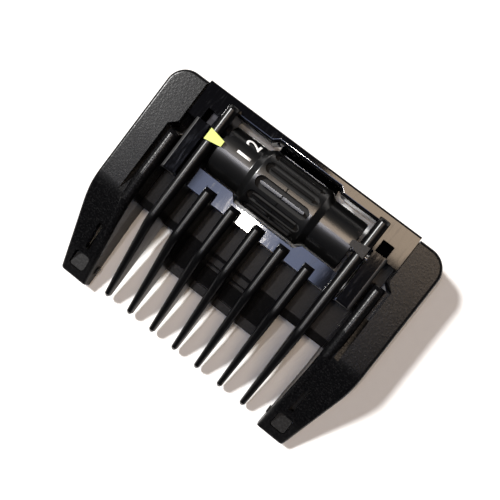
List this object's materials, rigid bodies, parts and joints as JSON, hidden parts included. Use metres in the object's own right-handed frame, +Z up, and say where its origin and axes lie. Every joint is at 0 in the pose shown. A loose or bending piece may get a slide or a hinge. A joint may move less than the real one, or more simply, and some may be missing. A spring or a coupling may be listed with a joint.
{
  "type": "clipper guard comb",
  "caption": "Clip-on hair clipper guard: a toothed comb slides forward in a two-winged carrier as a numbered dial is turned, which sets the cutting length.",
  "frame": {"origin": "middle of the footprint, on the surface the guard lies on", "axes": "+X to the right across the ribs, +Y to the rear where the dial is (the teeth point to -Y), +Z up through the rib crests"},
  "size_m": [0.054, 0.0408, 0.0113],
  "materials": {
    "carrier_plastic": "fine spark texture, matte",
    "latch_plastic": "fine spark texture, matte",
    "slide_plastic": "polished",
    "rib_plastic": "polished",
    "dial_plastic": "satin",
    "pointer_plastic": "lime, satin",
    "cap_plastic": "dark grey, satin",
    "gear_plastic": "moulded acetal",
    "shaft_steel": "drawn",
    "spring_steel": "bright rolled"
  },
  "bodies": {
    "carrier": {"carrier_frame": "carrier_plastic", "rack_left": "carrier_plastic", "rack_right": "carrier_plastic", "blade_latch_left": "latch_plastic", "blade_latch_right": "latch_plastic"},
    "comb": {"slide_plate": "slide_plastic", "comb_rib_1": "rib_plastic", "comb_rib_2": "rib_plastic", "comb_rib_3": "rib_plastic", "comb_rib_4": "rib_plastic", "comb_rib_5": "rib_plastic", "comb_rib_6": "rib_plastic", "comb_rib_7": "rib_plastic", "pointer_left": "pointer_plastic", "pointer_right": "cap_plastic", "bearing_cap_left": "rib_plastic", "bearing_cap_right": "rib_plastic", "click_spring": "spring_steel"},
    "dial": {"dial_left_half": "dial_plastic", "dial_right_half": "dial_plastic", "dial_shaft": "shaft_steel", "pinion_left": "gear_plastic", "pinion_right": "gear_plastic"}
  },
  "joints": [
    {"name": "comb_slide", "type": "slide", "parent": "carrier", "child": "comb", "axis": [0, -1, 0], "range_m": [0, 0.00314]},
    {"name": "dial_turn", "type": "hinge", "parent": "comb", "child": "dial", "pos_m": [0, 0.0126, 0.0059], "axis": [1, 0, 0], "range_deg": [0, 144]}
  ],
  "couplings": [
    {"joint": "dial_turn", "follows": "comb_slide", "rad_per_m": 800}
  ]
}
